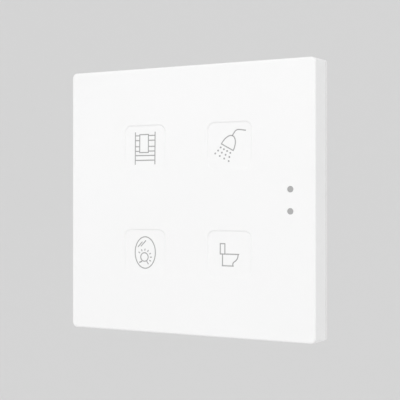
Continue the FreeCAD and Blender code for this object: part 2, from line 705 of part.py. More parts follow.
def magnets():
    """Four disc magnets in the rear cover's pockets, just proud of its floor."""
    places = corners(magnet_x, magnet_z)
    return Part.makeCompound([disc(MAGNET_RADIUS, magnet_front_y, magnet_rear_y, x, z) for x, z in places])


def cover_screw(x, z):
    """A cross-head screw from behind, through the tower into the front cover's boss."""
    head_end_y = screw_seat_y + SCREW_HEAD_HEIGHT
    head = disc(SCREW_HEAD_RADIUS, screw_seat_y, head_end_y, x, z)
    shank = disc(SCREW_RADIUS, screw_tip_y, screw_seat_y, x, z)
    drive_y = head_end_y - SCREW_DRIVE_DEPTH
    across = block(SCREW_DRIVE_LENGTH, SCREW_DRIVE_WIDTH, drive_y, head_end_y + PASS, x, z)
    upright = block(SCREW_DRIVE_WIDTH, SCREW_DRIVE_LENGTH, drive_y, head_end_y + PASS, x, z)
    return head.fuse(shank).removeSplitter().cut(across.fuse(upright))


def cover_screws():
    """The four screws that join the covers."""
    return Part.makeCompound([cover_screw(x, z) for x, z in corners(screw_x, screw_z)])


def storage_capacitors():
    """Two capacitor cans on the bus board that reach nearly to the touch board."""
    top_y = touch_board_rear_y + CAPACITOR_GAP
    cans = []
    for side in (-1, 1):
        x = CAPACITOR_X + side * CAPACITOR_PITCH / 2
        cans.append(disc(CAPACITOR_RADIUS, top_y, bus_board_front_y, x, CAPACITOR_Z))
    return Part.makeCompound(cans)


def board_chip(sizes, board_y, side):
    """A chip from its listed sizes, on one side of a board."""
    width, height, thickness, x, z = sizes
    return chip(width, height, thickness, board_y, side, x, z)


def temperature_sensor():
    """The small sensor near the lower edge of the touch board, beside the support pad."""
    z = THERMISTOR_INSET - touch_board_height / 2
    sizes = (THERMISTOR_WIDTH, THERMISTOR_HEIGHT, THERMISTOR_THICKNESS, thermistor_x, z)
    return board_chip(sizes, touch_board_rear_y, 1)


def board_connector():
    """The plug and socket between the two boards."""
    return block(
        CONNECTOR_WIDTH, CONNECTOR_HEIGHT, touch_board_rear_y, bus_board_front_y, CONNECTOR_X, CONNECTOR_Z
    )


def all_nodes():
    """Every piece by name."""
    nodes = {
        "wall_plate": wall_plate(),
        "front_cover": front_cover(),
        "rear_cover": rear_cover(),
        "light_frame": light_frame(),
        "sensor_baffle": sensor_baffle(),
        "touch_board": touch_board(),
        "backlight_leds": backlight_leds(),
        "touch_controller": board_chip(TOUCH_CONTROLLER, touch_board_rear_y, 1),
        "microcontroller": board_chip(MICROCONTROLLER, touch_board_rear_y, 1),
        "crystal": board_chip(CRYSTAL, touch_board_rear_y, 1),
        "temperature_sensor": temperature_sensor(),
        "board_connector": board_connector(),
        "bus_board": bus_board(),
        "bus_transceiver": board_chip(TRANSCEIVER, bus_board_front_y, -1),
        "inductor": board_chip(INDUCTOR, bus_board_front_y, -1),
        "storage_capacitors": storage_capacitors(),
        "bus_pins": bus_pins(),
        "input_pins": input_pins(),
        "prog_switch_base": prog_switch_base(),
        "prog_switch_dome": prog_switch_dome(),
        "prog_switch_actuator": prog_switch_actuator(),
        "prog_key": prog_key(),
        "prog_led": chip(LED_WIDTH, LED_HEIGHT, LED_THICKNESS, bus_board_rear_y, 1, pipe_x, key_z),
        "prog_light_pipe": prog_light_pipe(),
        "magnets": magnets(),
        "cover_screws": cover_screws(),
    }
    for name, (x, z) in BUTTONS.items():
        nodes["diffuser_" + name] = diffuser(x, z)
        nodes["touch_pad_" + name] = touch_pad(x, z)
    for name, z in SENSORS.items():
        nodes["sensor_window_" + name] = sensor_window(z)
    sensor = (SENSOR_WIDTH, SENSOR_HEIGHT, SENSOR_THICKNESS, touch_board_front_y, -1, sensor_x)
    nodes["proximity_sensor"] = chip(*sensor, SENSORS["upper"])
    nodes["ambient_light_sensor"] = chip(*sensor, SENSORS["lower"])
    return nodes


os.makedirs("parts", exist_ok=True)
for node, shape in all_nodes().items():
    shape.exportStep("parts/" + node + ".step")
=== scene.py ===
"""Dresses the touch push button switch: its covers, a finish for every piece, its signs and the studio.

Everything is in metres, in the part's own frame: X to the right of someone who faces the switch,
Y into the wall and Z up. The signs are drawn on the floors of the four touch recesses.
"""

import math

import bmesh
import bpy
from mathutils import Matrix, Vector


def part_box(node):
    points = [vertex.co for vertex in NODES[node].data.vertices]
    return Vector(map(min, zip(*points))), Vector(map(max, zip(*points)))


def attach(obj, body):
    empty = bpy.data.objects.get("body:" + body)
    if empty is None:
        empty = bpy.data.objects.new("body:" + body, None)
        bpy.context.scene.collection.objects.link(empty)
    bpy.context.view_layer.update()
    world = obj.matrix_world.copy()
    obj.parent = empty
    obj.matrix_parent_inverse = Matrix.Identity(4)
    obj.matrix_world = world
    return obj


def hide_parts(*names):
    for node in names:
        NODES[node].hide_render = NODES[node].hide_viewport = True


bl_info = {
    "name": "Touch push button switch",
    "version": (1, 0, 0),
    "blender": (4, 5, 0),
    "location": "View3D > Sidebar > Touch switch",
    "description": "Covers, finishes, printed signs and studio for a flush touch push button switch",
    "category": "Object",
}

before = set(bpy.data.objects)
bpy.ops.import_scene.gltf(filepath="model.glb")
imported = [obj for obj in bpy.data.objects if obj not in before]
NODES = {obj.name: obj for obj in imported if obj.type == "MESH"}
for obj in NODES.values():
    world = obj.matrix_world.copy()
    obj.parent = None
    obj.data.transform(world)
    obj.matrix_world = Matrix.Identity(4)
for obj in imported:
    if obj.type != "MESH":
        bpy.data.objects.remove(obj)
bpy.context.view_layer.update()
FRONT_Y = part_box("front_cover")[0].y
SWITCH_BODY = "switch"
MM = 0.001
BUTTONS = ("upper_left", "upper_right", "lower_left", "lower_right")

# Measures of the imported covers: their corners, the flat floors of their recesses and the seam
COVER_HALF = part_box("front_cover")[1].x
COVER_CORNER = 1.1 * MM
RECESS_MIDDLES = {button: sum(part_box("diffuser_" + button), Vector()) / 2 for button in BUTTONS}
RECESS_HALF = 6.8 * MM
RECESS_FLOOR_Y = FRONT_Y + 0.3 * MM
SKIRT_END_Y = -1.75 * MM
RIM_FRONT_Y = -1.55 * MM

# How near a point counts as on a surface, which points are one, and which faces share a normal
SLACK = 0.01 * MM
COVER_MERGE = 0.001 * MM
SIGN_MERGE = 0.002 * MM
SMOOTH_LIMIT = math.radians(30.0)

# The right angle that lays a drawing upright, and how many degrees each step of a bend turns
QUARTER_TURN = math.radians(90.0)
BEND_STEP = 8.0

# The studio: its paper, the even share of the paper's look, its lamps and its camera
PAPER_HALF_WIDTH = 2.5
PAPER_FRONT_Y = -2.5
PAPER_BACK_Y = 0.55
PAPER_COVE_RADIUS = 0.25
PAPER_COVE_STEPS = 16
PAPER_RISE = 1.8
EVEN_SHARE = 0.8
FRONT_LAMP_SPOT = Vector((0.0, -0.9, 0.45))
FRONT_LAMP_SIZE = 0.5
SIDE_LAMP_SPOT = Vector((0.8, -0.1, 0.25))
SIDE_LAMP_SIZE = 0.4
SENSOR_WIDTH = 36.0
CLIP_START = 0.01


# Settings that a user would change


class TouchSwitchColours(bpy.types.PropertyGroup):
    """The colours of the switch."""

    cover: bpy.props.FloatVectorProperty(
        name="Front cover",
        description="Satin plastic of the front cover",
        subtype="COLOR",
        min=0.0,
        max=1.0,
        default=(0.865, 0.865, 0.865),
    )
    rear: bpy.props.FloatVectorProperty(
        name="Rear cover",
        description="Plastic of the rear cover, its rim and its block",
        subtype="COLOR",
        min=0.0,
        max=1.0,
        default=(0.85, 0.85, 0.845),
    )
    sign: bpy.props.FloatVectorProperty(
        name="Printed signs",
        description="Grey ink of the four signs",
        subtype="COLOR",
        min=0.0,
        max=1.0,
        default=(0.35, 0.35, 0.35),
    )
    window: bpy.props.FloatVectorProperty(
        name="Sensor windows",
        description="Smoked plastic of the two sensor windows",
        subtype="COLOR",
        min=0.0,
        max=1.0,
        default=(0.42, 0.42, 0.42),
    )
    board: bpy.props.FloatVectorProperty(
        name="Circuit boards",
        description="Solder mask of both circuit boards",
        subtype="COLOR",
        min=0.0,
        max=1.0,
        default=(0.015, 0.11, 0.045),
    )
    background: bpy.props.FloatProperty(
        name="Background grey",
        description="How light the backdrop and the floor look, where 1 is white",
        min=0.0,
        max=1.0,
        subtype="FACTOR",
        default=0.658,
    )


class TouchSwitchSigns(bpy.types.PropertyGroup):
    """The sizes of the printed signs."""

    line: bpy.props.FloatProperty(
        name="Line width",
        description="How wide the printed lines are",
        unit="LENGTH",
        default=0.31 * MM,
    )
    ink: bpy.props.FloatProperty(
        name="Ink height",
        description="How far the ink stands out from the recess floor",
        unit="LENGTH",
        default=0.02 * MM,
    )
    droplet: bpy.props.FloatProperty(
        name="Droplet radius",
        description="Radius of each droplet under the shower head",
        unit="LENGTH",
        default=0.28 * MM,
    )


class TouchSwitchCovers(bpy.types.PropertyGroup):
    """The fine forms of the covers that their plain solids leave out."""

    corner_front: bpy.props.FloatProperty(
        name="Corner radius in front",
        description="Radius of the four corners where they meet the front face",
        unit="LENGTH",
        default=1.6 * MM,
    )
    corner_rear: bpy.props.FloatProperty(
        name="Corner radius at the wall",
        description="Radius of the four corners at the seam and on the rim behind it",
        unit="LENGTH",
        default=0.2 * MM,
    )
    recess_top: bpy.props.FloatProperty(
        name="Recess depth at the top",
        description="How deep the top of each recess floor lies behind the front face",
        unit="LENGTH",
        default=0.3 * MM,
    )
    recess_bottom: bpy.props.FloatProperty(
        name="Recess depth at the bottom",
        description="How deep the bottom of each recess floor lies behind the front face",
        unit="LENGTH",
        default=0.1 * MM,
    )


class TouchSwitchStudio(bpy.types.PropertyGroup):
    """The camera, the lamps and the floor."""

    azimuth: bpy.props.FloatProperty(
        name="Camera azimuth",
        description="How far the camera stands to the right of straight ahead",
        subtype="ANGLE",
        default=math.radians(27.4),
    )
    distance: bpy.props.FloatProperty(
        name="Camera distance",
        description="From the camera to the plane through the middle of the front face",
        unit="LENGTH",
        default=0.2829,
    )
    aside: bpy.props.FloatProperty(
        name="Camera aside",
        description="How far the camera stands to the right of the face's middle; negative is left",
        unit="LENGTH",
        default=-6.6 * MM,
    )
    above: bpy.props.FloatProperty(
        name="Camera height",
        description="How far the camera stands above the middle of the face",
        unit="LENGTH",
        default=0.07 * MM,
    )
    lens: bpy.props.FloatProperty(
        name="Focal length",
        description="Focal length on a 36 mm sensor, in millimetres",
        default=84.75,
    )
    shift: bpy.props.FloatProperty(
        name="Lens shift",
        description="How far the lens is shifted sideways, as a share of the picture's width",
        default=0.09,
    )
    floor: bpy.props.FloatProperty(
        name="Floor height",
        description="Height of the studio floor under the middle of the switch",
        unit="LENGTH",
        default=-0.25,
    )
    ambient: bpy.props.FloatProperty(
        name="Ambient light",
        description="Strength of the even light from all sides",
        min=0.0,
        default=0.99,
    )
    key: bpy.props.FloatProperty(
        name="Front lamp power",
        description="Power of the large soft lamp high up in front of the switch, in watts",
        min=0.0,
        default=1.85,
    )
    fill: bpy.props.FloatProperty(
        name="Side lamp power",
        description="Power of the soft lamp at the right, in watts",
        min=0.0,
        default=0.2,
    )
    paper: bpy.props.FloatProperty(
        name="Paper lightness",
        description="How much of the light the studio paper gives back to the switch",
        min=0.0,
        max=1.0,
        subtype="FACTOR",
        default=0.85,
    )
    glow: bpy.props.FloatProperty(
        name="Paper glow",
        description="How light the paper looks before the real light and the shadow are added",
        min=0.0,
        max=1.0,
        subtype="FACTOR",
        default=0.613,
    )


# Node groups for effects that several finishes share


def group_socket(tree, name, kind, way, default=None):
    """One named input or output of a node group."""
    socket = tree.interface.new_socket(name=name, in_out=way, socket_type=kind)
    if default is not None:
        socket.default_value = default


def new_group(name, inputs, outputs):
    """An empty node group with its sockets and its two end nodes."""
    tree = bpy.data.node_groups.new(name, "ShaderNodeTree")
    for socket_name, kind, default in inputs:
        group_socket(tree, socket_name, kind, "INPUT", default)
    for socket_name, kind in outputs:
        group_socket(tree, socket_name, kind, "OUTPUT")
    start = tree.nodes.new("NodeGroupInput")
    end = tree.nodes.new("NodeGroupOutput")
    return tree, start.outputs, end.inputs


def add_noise(tree, vector, scale, detail=2.0, roughness=0.5):
    """A noise texture at a fixed scale, or at the scale of a socket."""
    noise = tree.nodes.new("ShaderNodeTexNoise")
    noise.inputs["Detail"].default_value = detail
    noise.inputs["Roughness"].default_value = roughness
    tree.links.new(vector, noise.inputs["Vector"])
    if isinstance(scale, bpy.types.NodeSocket):
        tree.links.new(scale, noise.inputs["Scale"])
    else:
        noise.inputs["Scale"].default_value = scale
    return noise.outputs["Fac"]


def add_range(tree, value, low, high, start=0.3, end=0.7):
    """A value spread over a new range, whose ends may be sockets."""
    spread = tree.nodes.new("ShaderNodeMapRange")
    tree.links.new(value, spread.inputs["Value"])
    spread.inputs["From Min"].default_value = start
    spread.inputs["From Max"].default_value = end
    for socket, target in (("To Min", low), ("To Max", high)):
        if isinstance(target, bpy.types.NodeSocket):
            tree.links.new(target, spread.inputs[socket])
        else:
            spread.inputs[socket].default_value = target
    return spread.outputs["Result"]


def add_bump(tree, height, strength, distance):
    """A bump from a height, in the finish's own strength."""
    bump = tree.nodes.new("ShaderNodeBump")
    bump.inputs["Distance"].default_value = distance
    tree.links.new(height, bump.inputs["Height"])
    if isinstance(strength, bpy.types.NodeSocket):
        tree.links.new(strength, bump.inputs["Strength"])
    else:
        bump.inputs["Strength"].default_value = strength
    return bump.outputs["Normal"]


def add_mix(tree, factor, first, second):
    """Two colours mixed by a mask."""
    mix = tree.nodes.new("ShaderNodeMix")
    mix.data_type = "RGBA"
    tree.links.new(factor, mix.inputs["Factor"])
    colours_in = [socket for socket in mix.inputs if socket.type == "RGBA"]
    for socket, colour in zip(colours_in, (first, second)):
        if isinstance(colour, bpy.types.NodeSocket):
            tree.links.new(colour, socket)
        else:
            socket.default_value = (*colour, 1.0)
    return next(socket for socket in mix.outputs if socket.type == "RGBA")


SURFACE_OUTPUTS = [
    ("Colour", "NodeSocketColor"),
    ("Roughness", "NodeSocketFloat"),
    ("Normal", "NodeSocketVector"),
]


def moulded_skin():
    """Moulded plastic: a slow drift in shade, a fine spark-eroded grain and a satin that varies."""
    tree, given, out = new_group(
        "Moulded skin",
        [
            ("Vector", "NodeSocketVector", None),
            ("Colour", "NodeSocketColor", (0.8, 0.8, 0.8, 1.0)),
            ("Shade", "NodeSocketColor", (0.78, 0.78, 0.78, 1.0)),
            ("Grain scale", "NodeSocketFloat", 2600.0),
            ("Grain depth", "NodeSocketFloat", 0.2),
            ("Smoothest", "NodeSocketFloat", 0.36),
            ("Roughest", "NodeSocketFloat", 0.46),
        ],
        SURFACE_OUTPUTS,
    )
    drift = add_noise(tree, given["Vector"], 22.0, detail=3.0)
    grain = add_noise(tree, given["Vector"], given["Grain scale"], detail=3.0, roughness=0.6)
    tree.links.new(
        add_mix(tree, add_range(tree, drift, 0.0, 1.0), given["Colour"], given["Shade"]),
        out["Colour"],
    )
    satin = add_range(tree, grain, given["Smoothest"], given["Roughest"])
    tree.links.new(satin, out["Roughness"])
    tree.links.new(add_bump(tree, grain, given["Grain depth"], 0.02 * MM), out["Normal"])
    return tree


def rolled_metal():
    """Rolled or drawn metal: streaks along one way and dull spots from handling."""
    tree, given, out = new_group(
        "Rolled metal",
        [
            ("Vector", "NodeSocketVector", None),
            ("Place", "NodeSocketVector", None),
            ("Colour", "NodeSocketColor", (0.6, 0.6, 0.6, 1.0)),
            ("Dull", "NodeSocketColor", (0.45, 0.45, 0.45, 1.0)),
            ("Streak scale", "NodeSocketFloat", 120.0),
            ("Streak depth", "NodeSocketFloat", 0.15),
            ("Smoothest", "NodeSocketFloat", 0.22),
            ("Roughest", "NodeSocketFloat", 0.42),
        ],
        SURFACE_OUTPUTS,
    )
    streaks = add_noise(tree, given["Vector"], given["Streak scale"], detail=4.0)
    spots = add_noise(tree, given["Place"], 45.0, detail=3.0, roughness=0.65)
    dulled = add_range(tree, spots, 0.0, 1.0, 0.45, 0.75)
    tree.links.new(add_mix(tree, dulled, given["Colour"], given["Dull"]), out["Colour"])
    satin = add_range(tree, streaks, given["Smoothest"], given["Roughest"])
    tree.links.new(satin, out["Roughness"])
    tree.links.new(add_bump(tree, streaks, given["Streak depth"], 0.01 * MM), out["Normal"])
    return tree


def flecked_resin():
    """Cast or pressed resin: small flecks in a darker or lighter ground."""
    tree, given, out = new_group(
        "Flecked resin",
        [
            ("Vector", "NodeSocketVector", None),
            ("Colour", "NodeSocketColor", (0.03, 0.03, 0.03, 1.0)),
            ("Fleck", "NodeSocketColor", (0.08, 0.08, 0.08, 1.0)),
            ("Fleck scale", "NodeSocketFloat", 3500.0),
            ("Smoothest", "NodeSocketFloat", 0.4),
            ("Roughest", "NodeSocketFloat", 0.6),
        ],
        SURFACE_OUTPUTS,
    )
    cells = tree.nodes.new("ShaderNodeTexVoronoi")
    tree.links.new(given["Vector"], cells.inputs["Vector"])
    tree.links.new(given["Fleck scale"], cells.inputs["Scale"])
    flecks = add_range(tree, cells.outputs["Distance"], 1.0, 0.0, 0.1, 0.3)
    tree.links.new(add_mix(tree, flecks, given["Colour"], given["Fleck"]), out["Colour"])
    mottle = add_noise(tree, given["Vector"], 900.0)
    satin = add_range(tree, mottle, given["Smoothest"], given["Roughest"])
    tree.links.new(satin, out["Roughness"])
    tree.links.new(add_bump(tree, mottle, 0.15, 0.01 * MM), out["Normal"])
    return tree


def seam_dust_and_shade():
    """Painted shade, with some dust, in the seam between the covers: it darkens what lies inside the gap.
    """
    tree, given, out = new_group(
        "Seam dust and shade",
        [
            ("Vector", "NodeSocketVector", None),
            ("Colour", "NodeSocketColor", (0.8, 0.8, 0.8, 1.0)),
            ("Dust and shade", "NodeSocketColor", (0.2, 0.2, 0.2, 1.0)),
        ],
        [("Colour", "NodeSocketColor")],
    )
    place = tree.nodes.new("ShaderNodeSeparateXYZ")
    tree.links.new(given["Vector"], place.inputs["Vector"])
    # Painted shade in the seam: the darker colour goes wherever Y lies inside the gap between the covers
    inside = tree.nodes.new("ShaderNodeMath")
    inside.operation = "COMPARE"
    inside.inputs[1].default_value = (SKIRT_END_Y + RIM_FRONT_Y) / 2
    inside.inputs[2].default_value = (RIM_FRONT_Y - SKIRT_END_Y) / 2 + SLACK
    tree.links.new(place.outputs["Y"], inside.inputs[0])
    tree.links.new(add_mix(tree, inside.outputs["Value"], given["Colour"], given["Dust and shade"]), out["Colour"])
    return tree


GROUPS = {}


def shared(make):
    """A shared node group, built the first time that a finish asks for it."""
    if make not in GROUPS:
        GROUPS[make] = make()
    return GROUPS[make]


# Finishes


def new_finish(name):
    """A material, its shader and the piece's own coordinates."""
    material = bpy.data.materials.new(name)
    material.use_nodes = True
    tree = material.node_tree
    coordinates = tree.nodes.new("ShaderNodeTexCoord").outputs["Object"]
    return material, tree, tree.nodes["Principled BSDF"], coordinates


def stretched(tree, vector, scale):
    """Coordinates squeezed along each axis, so that a pattern on them stretches."""
    mapping = tree.nodes.new("ShaderNodeMapping")
    mapping.inputs["Scale"].default_value = scale
    tree.links.new(vector, mapping.inputs["Vector"])
    return mapping.outputs["Vector"]


def surface(tree, shader, make, vector, **values):
    """Places a shared group in a finish with its own values and joins it to the shader."""
    node = tree.nodes.new("ShaderNodeGroup")
    node.node_tree = shared(make)
    tree.links.new(vector, node.inputs["Vector"])
    for name, value in values.items():
        socket = node.inputs[name.replace("_", " ")]
        socket.default_value = (*value, 1.0) if isinstance(value, tuple) else value
    for output, socket in (("Colour", "Base Color"), ("Roughness", "Roughness"), ("Normal", "Normal")):
        tree.links.new(node.outputs[output], shader.inputs[socket])
    return node


def shade(colour, factor):
    """A colour made darker or lighter."""
    return tuple(min(1.0, channel * factor) for channel in colour)


def plastic(name, colour, grain, depth, satin, drift=0.97):
    """Moulded plastic: satin holds its least and its most roughness, drift the darkest of its shades."""
    material, tree, shader, place = new_finish(name)
    surface(
        tree,
        shader,
        moulded_skin,
        place,
        Colour=tuple(colour),
        Shade=shade(colour, drift),
        Grain_scale=grain,
        Grain_depth=depth,
        Smoothest=satin[0],
        Roughest=satin[1],
    )
    return material


def cover_plastic(name, colour, dust_and_shade, **skin):
    """Moulded plastic of a cover, with painted shade and some dust in the seam, a darker shade of its
    colour.
    """
    material = plastic(name, colour, **skin)
    tree = material.node_tree
    base = tree.nodes["Principled BSDF"].inputs["Base Color"]
    skin_colour = base.links[0].from_socket
    seam_shading = tree.nodes.new("ShaderNodeGroup")
    seam_shading.node_tree = shared(seam_dust_and_shade)
    seam_shading.inputs["Dust and shade"].default_value = (*shade(colour, dust_and_shade), 1.0)
    tree.links.new(tree.nodes["Texture Coordinate"].outputs["Object"], seam_shading.inputs["Vector"])
    tree.links.new(skin_colour, seam_shading.inputs["Colour"])
    tree.links.new(seam_shading.outputs["Colour"], base)
    return material


def metal(name, colour, dull, squeeze, streaks, depth, satin):
    """Plated or rolled metal, with its streaks along the axis that is squeezed least."""
    material, tree, shader, place = new_finish(name)
    shader.inputs["Metallic"].default_value = 1.0
    made = surface(
        tree,
        shader,
        rolled_metal,
        stretched(tree, place, squeeze),
        Colour=colour,
        Dull=dull,
        Streak_scale=streaks,
        Streak_depth=depth,
        Smoothest=satin[0],
        Roughest=satin[1],
    )
    tree.links.new(place, made.inputs["Place"])
    return material


def resin(name, colour, fleck, flecks, satin):
    """The case of a chip or another pressed component, or ink: flecks is the scale of its flecks."""
    material, tree, shader, place = new_finish(name)
    surface(
        tree,
        shader,
        flecked_resin,
        place,
        Colour=colour,
        Fleck=fleck,
        Fleck_scale=flecks,
        Smoothest=satin[0],
        Roughest=satin[1],
    )
    return material


def smoked_window():
    """Smoked plastic of the sensor windows, under a thin gloss."""
    colour = bpy.context.scene.touch_colours.window
    material = plastic("Smoked window", colour, grain=1200.0, depth=0.05, satin=(0.2, 0.28), drift=0.9)
    material.node_tree.nodes["Principled BSDF"].inputs["Coat Weight"].default_value = 0.3
    return material


def milky_diffuser():
    """Milky plastic that lets light through from behind."""
    material = plastic("Milky diffuser", (0.82, 0.83, 0.84), grain=900.0, depth=0.1, satin=(0.4, 0.5))
    shader = material.node_tree.nodes["Principled BSDF"]
    shader.inputs["Subsurface Weight"].default_value = 0.4
    shader.inputs["Subsurface Radius"].default_value = (MM, MM, MM)
    return material


def clear_pipe():
    """Clear moulded plastic of the light pipe."""
    material = plastic("Clear light pipe", (0.78, 0.81, 0.83), grain=700.0, depth=0.05, satin=(0.08, 0.16))
    shader = material.node_tree.nodes["Principled BSDF"]
    shader.inputs["Transmission Weight"].default_value = 0.5
    shader.inputs["IOR"].default_value = 1.49
    return material


def printed_ink():
    """Grey screen-printed ink, a little uneven in cover."""
    ink = tuple(bpy.context.scene.touch_colours.sign)
    return resin("Printed ink", ink, fleck=shade(ink, 1.12), flecks=6000.0, satin=(0.5, 0.62))


def solder_mask():
    """A circuit board: green mask over a faint web of copper tracks."""
    material, tree, shader, place = new_finish("Solder mask")
    green = tuple(bpy.context.scene.touch_colours.board)
    flat = tree.nodes.new("ShaderNodeMapping")
    flat.inputs["Rotation"].default_value = (QUARTER_TURN, 0.0, 0.0)
    tree.links.new(place, flat.inputs["Vector"])
    tracks = tree.nodes.new("ShaderNodeTexBrick")
    tracks.offset = 0.37
    tracks.inputs["Scale"].default_value = 260.0
    tracks.inputs["Mortar Size"].default_value = 0.05
    tracks.inputs["Brick Width"].default_value = 1.7
    tracks.inputs["Row Height"].default_value = 0.32
    tree.links.new(flat.outputs["Vector"], tracks.inputs["Vector"])
    patch = add_range(tree, add_noise(tree, place, 70.0), 0.0, 1.0, 0.45, 0.55)
    routed = tree.nodes.new("ShaderNodeMath")
    routed.operation = "MULTIPLY"
    tree.links.new(tracks.outputs["Fac"], routed.inputs[0])
    tree.links.new(patch, routed.inputs[1])
    colour = add_mix(tree, routed.outputs["Value"], green, shade(green, 2.1))
    tree.links.new(colour, shader.inputs["Base Color"])
    gloss = add_range(tree, add_noise(tree, place, 400.0), 0.3, 0.4)
    tree.links.new(gloss, shader.inputs["Roughness"])
    tree.links.new(add_bump(tree, routed.outputs["Value"], 0.3, 0.03 * MM), shader.inputs["Normal"])
    return material


def dress(finish, *names):
    """Gives a finish to CAD pieces through their own material slots."""
    for name in names:
        for slot in NODES[name].material_slots:
            slot.link = "OBJECT"
            slot.material = finish


def new_piece(bm, name, finish):
    """Makes a finished shape a piece that rides on the switch."""
    mesh = bpy.data.meshes.new(name)
    bm.to_mesh(mesh)
    bm.free()
    mesh.materials.append(finish)
    piece = bpy.data.objects.new(name, mesh)
    bpy.context.scene.collection.objects.link(piece)
    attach(piece, SWITCH_BODY)
    return piece


# Covers


def corner_radius(y):
    """The radius of the covers' corners at a depth: it narrows along the skirt and stays on the rim."""
    covers = bpy.context.scene.touch_covers
    along = (y - FRONT_Y) / (SKIRT_END_Y - FRONT_Y)
    return covers.corner_front + (covers.corner_rear - covers.corner_front) * min(1.0, along)


def narrow_corner(spot):
    """Moves a point of a cover's round corner to where the corner of the right radius has it."""
    seat = COVER_HALF - COVER_CORNER
    across = Vector((abs(spot.x) - seat, abs(spot.z) - seat))
    if min(across) < -SLACK or across.length < SLACK:
        return
    move = (COVER_CORNER - corner_radius(spot.y)) * (Vector((1.0, 1.0)) - across.normalized())
    spot.x += move.x * math.copysign(1.0, spot.x)
    spot.z += move.y * math.copysign(1.0, spot.z)


def recess_depth(above):
    """How deep a recess floor lies at a height above its middle: it rises towards the bottom."""
    covers = bpy.context.scene.touch_covers
    share = (above / RECESS_HALF + 1) / 2
    return covers.recess_bottom + (covers.recess_top - covers.recess_bottom) * share


def lean_floor(spot):
    """Moves a point that lies on a flat recess floor onto the leaning floor."""
    for middle in RECESS_MIDDLES.values():
        aside = max(abs(spot.x - middle.x), abs(spot.z - middle.z))
        if aside < RECESS_HALF + SLACK and abs(spot.y - RECESS_FLOOR_Y) < SLACK:
            spot.y = FRONT_Y + recess_depth(spot.z - middle.z)


def corner_normals(bm, limit):
    """A normal for each face corner, over the faces around it that turn by less than a limit.

    Large faces count for more, so that flats stay flat beside roundings.
    """
    bm.normal_update()
    normals = []
    for face in bm.faces:
        for vert in face.verts:
            near = [other for other in vert.link_faces if other.normal.dot(face.normal) > math.cos(limit)]
            total = sum((other.normal * other.calc_area() for other in near), Vector())
            normals.append(total.normalized())
    return normals


def cover_copy(name, node, slot, finish, *changes):
    """A merged copy of a cover that stands for it, with each change made to all its points."""
    bm = bmesh.new()
    bm.from_mesh(NODES[node].data)
    bmesh.ops.remove_doubles(bm, verts=bm.verts, dist=COVER_MERGE)
    for vert in bm.verts:
        for change in changes:
            change(vert.co)
    normals = corner_normals(bm, SMOOTH_LIMIT)
    piece = new_piece(bm, name, finish)
    piece.data.normals_split_custom_set(normals)
    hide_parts(node)


# Printed signs, measured in millimetres from the middle of their recess


def flat_place(x, z, y, lean):
    """Puts a flat shape, made in its own XY plane, on a floor at (x, z) whose top leans away."""
    return Matrix.Translation((x, y, z)) @ Matrix.Rotation(QUARTER_TURN - lean, 4, "X")


def drawn_out(bm, geom, step):
    """Extrudes the edges among some geometry by a step, and gives the ends and the edges in front."""
    edges = [part for part in geom if isinstance(part, bmesh.types.BMEdge)]
    made = bmesh.ops.extrude_edge_only(bm, edges=edges)["geom"]
    ends = [part for part in made if isinstance(part, bmesh.types.BMVert)]
    bmesh.ops.translate(bm, verts=ends, vec=step)
    front = [p for p in made if isinstance(p, bmesh.types.BMEdge) and all(v in ends for v in p.verts)]
    return [*ends, *front]


class Pen:
    """Draws a line of even width: straight runs are extruded and bends are spun."""

    def __init__(self, bm, place, x, z, heading, width):
        """Starts at (x, z) in millimetres on the plane that place gives, with a heading in degrees."""
        self.bm = bm
        self.place = place
        self.spot = Vector((x, z, 0.0)) * MM
        self.heading = math.radians(heading)
        side = self.ahead(90.0) * width / 2
        ends = [bm.verts.new(place @ (self.spot + side)), bm.verts.new(place @ (self.spot - side))]
        self.nib = [*ends, bm.edges.new(ends)]

    def ahead(self, turn=0.0):
        """The unit vector of the heading, turned by some degrees."""
        angle = self.heading + math.radians(turn)
        return Vector((math.cos(angle), math.sin(angle), 0.0))

    def forward(self, length):
        """Draws a straight run."""
        step = self.ahead() * length * MM
        self.nib = drawn_out(self.bm, self.nib, self.place.to_3x3() @ step)
        self.spot += step

    def bend(self, turn, radius):
        """Draws a bend: a positive turn in degrees goes to the left."""
        side = self.ahead(math.copysign(90.0, turn))
        centre = self.spot + side * radius * MM
        angle = math.radians(turn)
        axis = self.place.to_3x3() @ Vector((0.0, 0.0, math.copysign(1.0, turn)))
        made = bmesh.ops.spin(
            self.bm,
            geom=self.nib,
            cent=self.place @ centre,
            axis=axis,
            angle=abs(angle),
            steps=max(3, round(abs(turn) / BEND_STEP)),
            use_duplicate=False,
        )
        self.nib = made["geom_last"]
        self.spot = centre - Matrix.Rotation(angle, 3, "Z") @ (side * radius * MM)
        self.heading += angle


def stroke(bm, place, start, end, width):
    """A straight printed line between two points in millimetres."""
    run = Vector(end) - Vector(start)
    heading = math.degrees(math.atan2(run.y, run.x))
    Pen(bm, place, *start, heading, width).forward(run.length)


def hollow(bm, faces, width):
    """Leaves only the outline of flat faces, as wide as a printed line."""
    bmesh.ops.inset_region(bm, faces=faces, thickness=width, use_even_offset=True, use_boundary=True)
    bmesh.ops.delete(bm, geom=faces, context="FACES_ONLY")


def ellipse(bm, place, x, z, radius_x, radius_z, segments=72):
    """A filled ellipse with radii in millimetres."""
    scale = Matrix.Diagonal((radius_x * MM, radius_z * MM, 1.0, 1.0))
    spot = Matrix.Translation((x * MM, z * MM, 0.0))
    made = bmesh.ops.create_circle(
        bm, cap_ends=True, segments=segments, radius=1.0, matrix=place @ spot @ scale
    )
    return list({face for vert in made["verts"] for face in vert.link_faces})


def panel(bm, place, low, high):
    """A filled rectangle from its low corner to its high corner, in millimetres."""
    middle = (Vector(low) + Vector(high)) / 2 * MM
    half = (Vector(high) - Vector(low)) / 2 * MM
    spot = Matrix.Translation((middle.x, middle.y, 0.0)) @ Matrix.Diagonal((half.x, half.y, 1.0, 1.0))
    made = bmesh.ops.create_grid(bm, x_segments=1, y_segments=1, size=1.0, matrix=place @ spot)
    return list({face for vert in made["verts"] for face in vert.link_faces})


